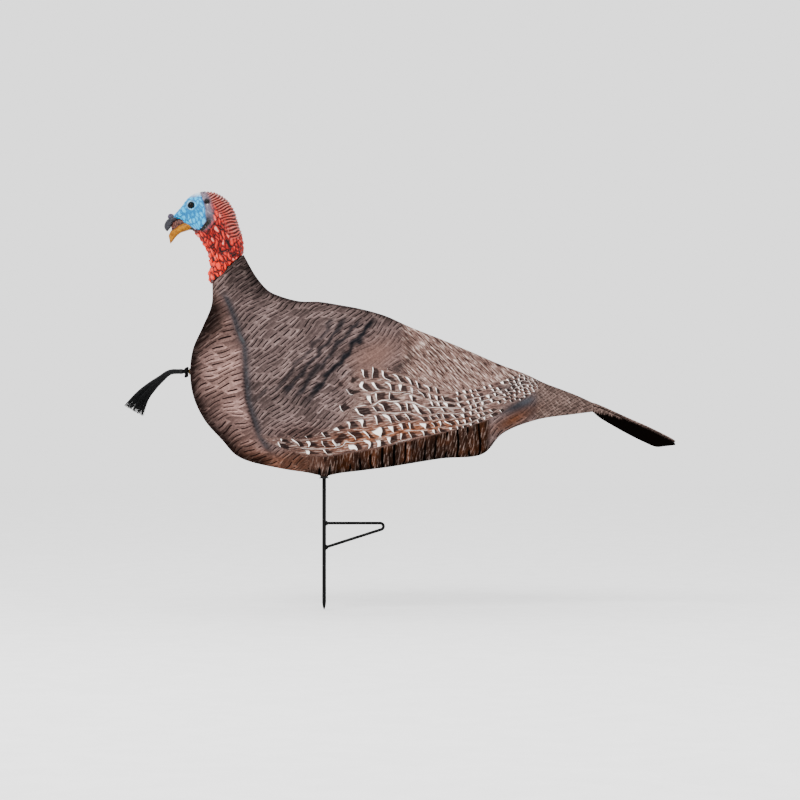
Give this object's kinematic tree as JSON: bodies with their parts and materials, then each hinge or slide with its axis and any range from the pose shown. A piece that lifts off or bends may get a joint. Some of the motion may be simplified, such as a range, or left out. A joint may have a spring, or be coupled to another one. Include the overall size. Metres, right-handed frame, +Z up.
{
  "type": "turkey decoy",
  "caption": "Life-size young tom turkey decoy: printed fabric skin over a foam body, moulded turning head, bristle beard, on a steel ground stake with a foot loop.",
  "frame": {"origin": "on the stake's axis at the ground line, just under the step loop's weld", "axes": "+Z up along the stake; the bird faces -Y with its tail towards +Y; +X is the bird's left side"},
  "size_m": [0.2108, 0.8798, 0.6684],
  "materials": {
    "printed_fabric": "stretch knit printed with feathers, matt",
    "black_lining": "plain black woven fabric and cord",
    "foam": "closed-cell grey foam",
    "stake_steel": "black powder-coated steel bar",
    "nylon": "natural nylon",
    "moulding": "black moulded plastic",
    "zinc": "zinc-plated spring steel",
    "painted_head": "moulded head, hand-painted red with a sky-blue face, satin",
    "dark_beak": "dark grey paint, satin",
    "ochre_beak": "ochre paint, satin",
    "snood": "purple-grey paint, satin",
    "eye": "glossy black",
    "brass": "dulled brass eyelet",
    "bristle": "black synthetic bristle"
  },
  "bodies": {
    "stake": {"stake_rod": "stake_steel", "step_loop": "stake_steel"},
    "swivel": {"swivel_cap": "nylon"},
    "body": {"skin_left": "printed_fabric", "skin_right": "printed_fabric", "foam_left": "foam", "foam_right": "foam", "foam_core": "foam", "stake_socket": "moulding", "belly_bush": "moulding", "tail_top": "printed_fabric", "tail_stay": "moulding", "tail_lining": "black_lining", "neck_plug": "moulding", "neck_peg": "nylon", "peg_washer": "zinc", "breast_eyelet": "brass", "beard_anchor": "black_lining"},
    "head": {"head_plug": "moulding", "head_shell": "painted_head", "upper_beak": "dark_beak", "lower_beak": "ochre_beak", "snood": "snood", "eye_left": "eye", "eye_right": "eye"},
    "beard": {"beard_knot": "black_lining", "beard_ferrule": "bristle", "beard_bristles": "bristle"}
  },
  "joints": [
    {"name": "body_spin", "type": "hinge", "parent": "stake", "child": "swivel", "pos_m": [0, 0, 0.36], "axis": [0, 0, 1], "continuous": true},
    {"name": "body_lift", "type": "slide", "parent": "swivel", "child": "body", "axis": [0, 0, 1], "range_m": [0, 0.26]},
    {"name": "head_turn", "type": "hinge", "parent": "body", "child": "head", "pos_m": [0, -0.1542, 0.4502], "axis": [0, -0.6709, 0.7415], "range_deg": [-25, 25]},
    {"name": "beard_swing", "type": "hinge", "parent": "body", "child": "beard", "pos_m": [0, -0.2206, 0.2856], "axis": [1, 0, 0], "range_deg": [-50, 40]}
  ]
}
